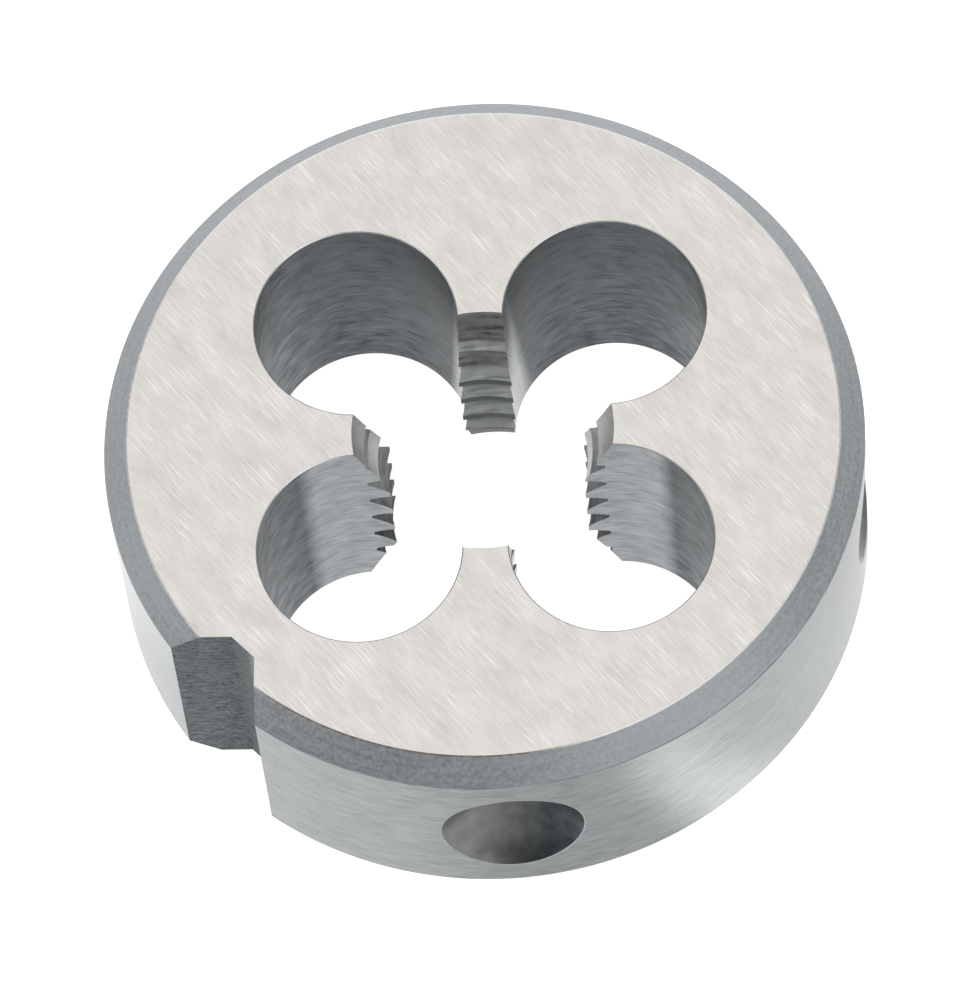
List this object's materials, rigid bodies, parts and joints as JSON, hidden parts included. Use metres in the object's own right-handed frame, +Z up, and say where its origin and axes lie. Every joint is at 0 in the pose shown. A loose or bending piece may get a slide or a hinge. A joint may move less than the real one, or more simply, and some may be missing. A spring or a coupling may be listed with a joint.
{
  "type": "round threading die",
  "caption": "Round one-piece threading die: a steel disc with a threaded centre, round clearance holes around it, an adjusting notch and set-screw dimples in the rim.",
  "frame": {"origin": "centre of the lower flat face, on the axis of the thread", "axes": "+Z up along the thread's axis; the four lands point along +X, +Y, -X and -Y; the adjusting notch faces about halfway between -X and -Y, at 223.3 degrees from +X"},
  "size_m": [0.025, 0.025, 0.009],
  "materials": {
    "ground_steel": "hardened tool steel, faces ground with fine straight lines, rim and chamfers turned"
  },
  "bodies": {
    "root": {"die_body": "ground_steel"}
  },
  "joints": []
}
